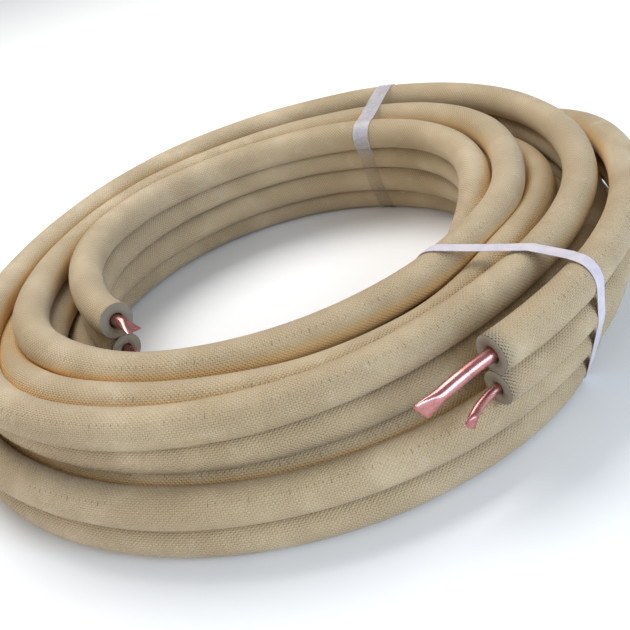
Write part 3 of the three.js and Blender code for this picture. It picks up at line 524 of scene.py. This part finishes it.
# ---------------------------------------------------------------- copper ends
def copper_end(name, P_line, end, r, out_len, bend, flat_axis, flat_len, seat, node, tip_slant=0.0):
    """follows the sleeve's bore, comes out of the cut face and is pinched shut at the tip"""
    n_in = 12
    idx = np.arange(n_in, -1, -1) if end == 0 else np.arange(len(P_line) - 1 - n_in, len(P_line))
    Pin = P_line[idx].copy()
    t = Pin[-1] - Pin[-2]; t /= np.linalg.norm(t)
    upv = np.array([0, 0, 1.0]); sd = np.cross(t, upv); sd /= np.linalg.norm(sd)
    seat_v = (sd * seat[0] + upv * seat[1]) * MM
    w = np.linspace(0, 1, len(Pin)) ** 2
    Pin += w[:, None] * seat_v
    m = 26
    f = np.linspace(0, 1, m + 1)[1:]
    b = np.array(bend) * MM
    Pout = Pin[-1] + t * (out_len * MM) * f[:, None] + b[None] * (f ** 2)[:, None]
    P = np.concatenate([Pin, Pout])
    T = np.gradient(P, axis=0); T /= np.linalg.norm(T, axis=1)[:, None]
    A = np.array(flat_axis, float)
    A = A[None] - T * (T @ A)[:, None]; A /= np.linalg.norm(A, axis=1)[:, None]   # thin direction
    Bv = np.cross(T, A)
    dist = np.concatenate([[0], np.cumsum(np.linalg.norm(np.diff(P, axis=0), axis=1))])
    to_tip = (dist[-1] - dist) / MM
    k = np.clip(1 - to_tip / flat_len, 0, 1); k = k * k * (3 - 2 * k)
    th = 2 * np.pi * np.arange(24) / 24
    thin = r * (1 - 0.86 * k)
    wide = r * (1 + 0.42 * k)
    # squared-off section as it flattens
    ex = (1 - 0.25 * k)[:, None]
    ct, st = np.cos(th)[None], np.sin(th)[None]
    cx = np.sign(ct) * np.abs(ct) ** ex; sx = np.sign(st) * np.abs(st) ** ex
    rows = P[:, None, :] + A[:, None, :] * (thin[:, None] * cx * MM)[..., None] + Bv[:, None, :] * (wide[:, None] * sx * MM)[..., None]
    # slanted tip
    rows += T[:, None, :] * ((k[:, None] ** 2) * sx * tip_slant * r * MM)[..., None]
    # a crease down the pinched part
    rows -= A[:, None, :] * (np.sign(cx) * (k[:, None] ** 1.5) * np.clip(1 - np.abs(sx) * 2.2, 0, 1) * thin[:, None] * 0.55 * MM)[..., None]
    bb = Builder()
    uvs = np.stack([np.repeat(dist[:, None], 25, 1), np.repeat((np.arange(25) / 24)[None], len(P), 0)], -1)
    base = bb.grid(rows, uvs, False, 0)
    bb.fan(base, 24, P[0], 0, flip=True)
    bb.fan(base + (len(P) - 1) * 24, 24, P[-1] + T[-1] * 0.0002, 0)
    o = bb.finish(name, [copper])
    # outward normals
    me = o.data
    import bmesh
    bm = bmesh.new(); bm.from_mesh(me); bmesh.ops.recalc_face_normals(bm, faces=bm.faces); bm.to_mesh(me); bm.free()
    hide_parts(node)
    return o

cu = [
    copper_end("copper_wide_outer", P_w, -1, CU_WIDE, 60, (0, 0, -6), (0.80, -0.60, 0.15), 17, (-0.9, 1.0), "copper_wide_outer_end", 0.5),
    copper_end("copper_narrow_outer", P_n, -1, CU_NARROW, 37, (9, -4, -3), (0.9, 0.0, 0.4), 9, (-0.8, 0.9), "copper_narrow_outer_end", 0.8),
    copper_end("copper_wide_inner", P_w, 0, CU_WIDE, 22, (2, 0, -3), (0.1, 0.3, 1.0), 15, (0.3, 0.8), "copper_wide_inner_end", 0.2),
    copper_end("copper_narrow_inner", P_n, 0, CU_NARROW, 31, (0, 0, -2), (0.2, 0.2, 1.0), 8, (0.2, 0.8), "copper_narrow_inner_end", 0.3),
]

# ---------------------------------------------------------------- straps
def hull2(pts):
    p = sorted(set((round(float(x), 4), round(float(y), 4)) for x, y in pts))
    def half(q):
        h = []
        for a in q:
            while len(h) > 1 and (h[-1][0] - h[-2][0]) * (a[1] - h[-2][1]) - (h[-1][1] - h[-2][1]) * (a[0] - h[-2][0]) <= 0: h.pop()
            h.append(a)
        return h[:-1]
    return half(p) + half(p[::-1])

def section(deg, reach=2.6):
    """centres of every tube that passes the plane at this azimuth"""
    c = []
    def near(a, q):
        d = (a - deg + 180) % 360 - 180
        for i in range(len(a) - 1):
            if d[i] == 0 or (d[i] * d[i + 1] < 0 and abs(d[i]) < 10):
                f = 0 if d[i] == 0 else d[i] / (d[i] - d[i + 1])
                v = q[i] + (q[i + 1] - q[i]) * f
                c.append((v[0], v[1], R_WIDE)); c.append((v[2], v[3], R_NARROW))
    near(az, Q)
    for table in (RING_1, RING_2, RING_3):
        a2, q2 = ring_points(table)
        near(np.append(a2, 360.0), np.vstack([q2, q2[:1]]))
    return c

def wrap_loop(deg, lift, n):
    """taut closed loop round the whole bundle at one azimuth, in even steps"""
    pts = []
    for (r_, z_, rad_) in section(deg):
        for a in np.linspace(0, 2 * np.pi, 72, endpoint=False):
            pts.append((r_ + (rad_ + lift) * math.cos(a), max(0.35, z_ + (rad_ + lift) * math.sin(a))))
    h = np.array(hull2(pts))
    top = int(np.argmax(h[:, 1] - 0.02 * h[:, 0])); h = np.roll(h, -top, 0)
    hh = np.vstack([h, h[:1]]); seg = np.linalg.norm(np.diff(hh, axis=0), axis=1); cum = np.concatenate([[0], np.cumsum(seg)])
    s = np.linspace(0, cum[-1], n, endpoint=False)
    loop = np.stack([np.interp(s, cum, hh[:, 0]), np.interp(s, cum, hh[:, 1])], 1)
    for _ in range(2): loop = (np.roll(loop, 1, 0) + 2 * loop + np.roll(loop, -1, 0)) / 4
    return loop, s, cum[-1]

def strap(name, deg, width, thick, lift, mat, node, path, wrinkle=0.0):
    """path: how far the band strays sideways (mm) from its azimuth, by radius"""
    n = 260
    loop, s, total = wrap_loop(deg, lift, n)
    drift = np.interp(loop[:, 0], path[0], path[1])
    grid_az = np.arange(deg - 14.0, deg + 14.1, 1.0)
    loops = np.stack([wrap_loop(float(x), lift, n)[0] for x in grid_az])
    tg = np.roll(loop, -1, 0) - np.roll(loop, 1, 0); tg /= np.linalg.norm(tg, axis=1)[:, None]
    nrm = np.stack([tg[:, 1], -tg[:, 0]], 1)          # outward for a counter-clockwise hull
    origin = np.array([SHIFT[0], SHIFT[1], 0]) * MM
    prof = [(-0.5, 0.15), (-0.46, 0.0), (0.46, 0.0), (0.5, 0.15), (0.5, 0.85), (0.46, 1.0), (-0.46, 1.0), (-0.5, 0.85)]
    rows = []
    wav = wrinkle * np.sin(s * 0.35) * np.sin(s * 0.061 + 1)
    for (pw, pt) in prof:
        azk = deg + np.degrees((drift + pw * width) / loop[:, 0])
        f = np.clip((azk - grid_az[0]) / 1.0, 0, len(grid_az) - 1.001); i0 = f.astype(int); f = f - i0
        k = np.arange(n)
        p2 = loops[i0, k] * (1 - f)[:, None] + loops[i0 + 1, k] * f[:, None]
        p2 = p2 + nrm * (thick * pt + wav * 0.5)[:, None]
        p2[:, 1] = np.maximum(p2[:, 1], 0.05 if pt > 0.5 else 0.3)
        rows.append(to_xyz(azk, p2[:, 0], p2[:, 1]))
    rows = np.stack(rows, 1)
    bb = Builder()
    uvs = np.stack([np.repeat((np.append(s, total) * MM)[:, None], 9, 1), np.repeat((np.arange(9) / 8)[None], n + 1, 0)], -1)
    bb.grid(rows, uvs, True, 0)
    o = bb.finish(name, [mat])
    import bmesh
    bm = bmesh.new(); bm.from_mesh(o.data); bmesh.ops.recalc_face_normals(bm, faces=bm.faces); bm.to_mesh(o.data); bm.free()
    for p in o.data.polygons: p.use_smooth = False
    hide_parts(node)
    return o

st1 = strap("strap_white_front", -22, 9.0, 0.7, 1.0, white, "strap_front",
            ([165, 183, 215, 252, 285, 310], [-17, -11, -1, 12, 13, 10]))
st2 = strap("strap_film_back", 88, 16, 0.25, 0.9, clear, "strap_back",
            ([160, 186, 215, 250], [0, 4, 10, 15]), wrinkle=0.3)

for o in [obj_w, obj_n, st1, st2] + cu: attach(o, "root")

# ---------------------------------------------------------------- floor and light
def floor():
    me = bpy.data.meshes.new("floor")
    me.from_pydata([(-8, -8, -0.0004), (8, -8, -0.0004), (8, 8, -0.0004), (-8, 8, -0.0004)], [], [(0, 1, 2, 3)])
    o = bpy.data.objects.new("floor", me); bpy.context.collection.objects.link(o)
    g = NT("floor_pale"); g.p.inputs["Base Color"].default_value = (0.86, 0.86, 0.86, 1); g.p.inputs["Roughness"].default_value = 0.9
    me.materials.append(g.m)
floor()

def area(name, loc, target, size, power, color, size_y=None):
    l = bpy.data.lights.new(name, "AREA"); l.energy = power; l.color = color; l.size = size
    if size_y: l.shape = "RECTANGLE"; l.size_y = size_y
    o = bpy.data.objects.new(name, l); bpy.context.collection.objects.link(o)
    o.location = loc
    o.rotation_euler = (Vector(target) - Vector(loc)).to_track_quat("-Z", "Y").to_euler()
    return o
area("key", (-0.7, 0.5, 1.7), (0, 0, 0.05), 1.2, 32, (1.0, 0.985, 0.96))
area("sky_right", (1.9, -0.7, 0.75), (0, 0, 0.05), 1.1, 34, (0.62, 0.79, 1.0))
area("fill_front", (-0.7, -1.8, 0.9), (0, 0, 0.05), 1.4, 9, (1.0, 0.93, 0.82))
w = bpy.data.worlds.new("world"); scene.world = w; w.use_nodes = True
w.node_tree.nodes["Background"].inputs[0].default_value = (0.95, 0.97, 1.0, 1)
w.node_tree.nodes["Background"].inputs[1].default_value = 0.45
